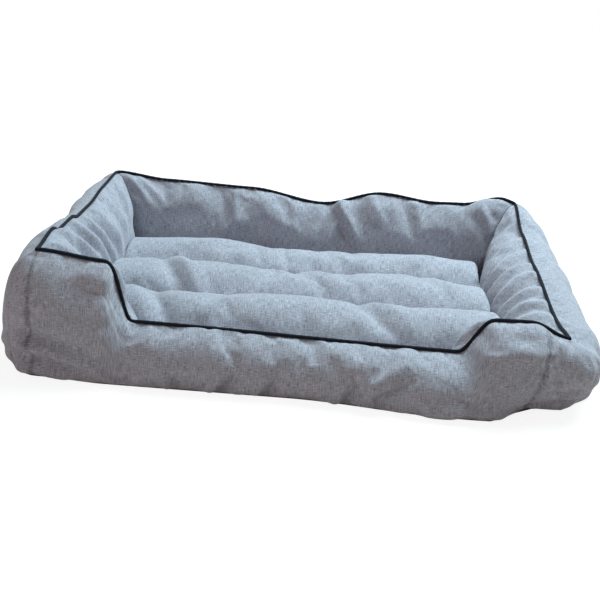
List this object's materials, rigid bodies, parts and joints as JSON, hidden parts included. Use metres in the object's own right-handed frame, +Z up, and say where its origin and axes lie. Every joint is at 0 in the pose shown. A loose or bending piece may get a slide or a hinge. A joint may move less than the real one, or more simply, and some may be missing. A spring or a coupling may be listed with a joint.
{
  "type": "dog sofa bed",
  "caption": "Rectangular pet sofa bed: stuffed bolster walls with piped ridges, a low front entry between wings, and a loose channelled mattress with a zipped cover.",
  "frame": {"origin": "on the floor, below the middle of the rectangle that the piped ridges form", "axes": "+X to the right of someone who faces the entry, +Y to the back wall, +Z up; the entry faces -Y"},
  "size_m": [1.044, 0.7394, 0.2272],
  "materials": {
    "cover_fabric": "matte heathered linen weave",
    "base_fabric": "matte non-slip fabric",
    "piping_fabric": "matte",
    "stuffing": "loose fibre",
    "zip_plastic": "satin",
    "zip_metal": "satin"
  },
  "bodies": {
    "bed": {"base_panel": "base_fabric", "left_outer_panel": "cover_fabric", "back_outer_panel": "cover_fabric", "right_outer_panel": "cover_fabric", "front_outer_panel": "cover_fabric", "left_inner_panel": "cover_fabric", "back_inner_panel": "cover_fabric", "right_inner_panel": "cover_fabric", "front_inner_panel": "cover_fabric", "left_bolster_stuffing": "stuffing", "back_bolster_stuffing": "stuffing", "right_bolster_stuffing": "stuffing", "front_bolster_stuffing": "stuffing", "surround_piping": "piping_fabric", "front_piping": "piping_fabric", "back_zip_upper_tape": "zip_plastic", "back_zip_lower_tape": "zip_plastic", "back_zip_upper_stop": "zip_metal", "back_zip_lower_stop": "zip_metal", "back_zip_end_stop": "zip_metal"},
    "mattress": {"mattress_top_panel": "cover_fabric", "mattress_bottom_panel": "cover_fabric", "front_channel_stuffing": "stuffing", "middle_channel_stuffing": "stuffing", "back_channel_stuffing": "stuffing", "front_quilting_seam": "cover_fabric", "back_quilting_seam": "cover_fabric", "mattress_zip_front_tape": "zip_plastic", "mattress_zip_back_tape": "zip_plastic", "mattress_zip_front_stop": "zip_metal", "mattress_zip_back_stop": "zip_metal", "mattress_zip_end_stop": "zip_metal"},
    "back_zip_slider": {"back_zip_slider": "zip_metal"},
    "back_zip_pull": {"back_zip_pull": "zip_metal"},
    "mattress_zip_slider": {"mattress_zip_slider": "zip_metal"}
  },
  "joints": [
    {"name": "mattress_lift", "type": "slide", "parent": "bed", "child": "mattress", "axis": [0, 0, 1], "range_m": [0, 0.35]},
    {"name": "mattress_zip_slide", "type": "slide", "parent": "mattress", "child": "mattress_zip_slider", "axis": [-1, 0, 0], "range_m": [0, 0.17], "deforming": ["mattress_zip_front_tape", "mattress_zip_back_tape"]},
    {"name": "back_zip_slide", "type": "slide", "parent": "bed", "child": "back_zip_slider", "axis": [1, 0, 0], "range_m": [0, 0.22], "deforming": ["back_zip_upper_tape", "back_zip_lower_tape"]},
    {"name": "back_zip_pull_swing", "type": "hinge", "parent": "back_zip_slider", "child": "back_zip_pull", "pos_m": [-0.1139, 0.3591, 0.08], "axis": [0, 0, 1], "range_deg": [0, 170]}
  ]
}
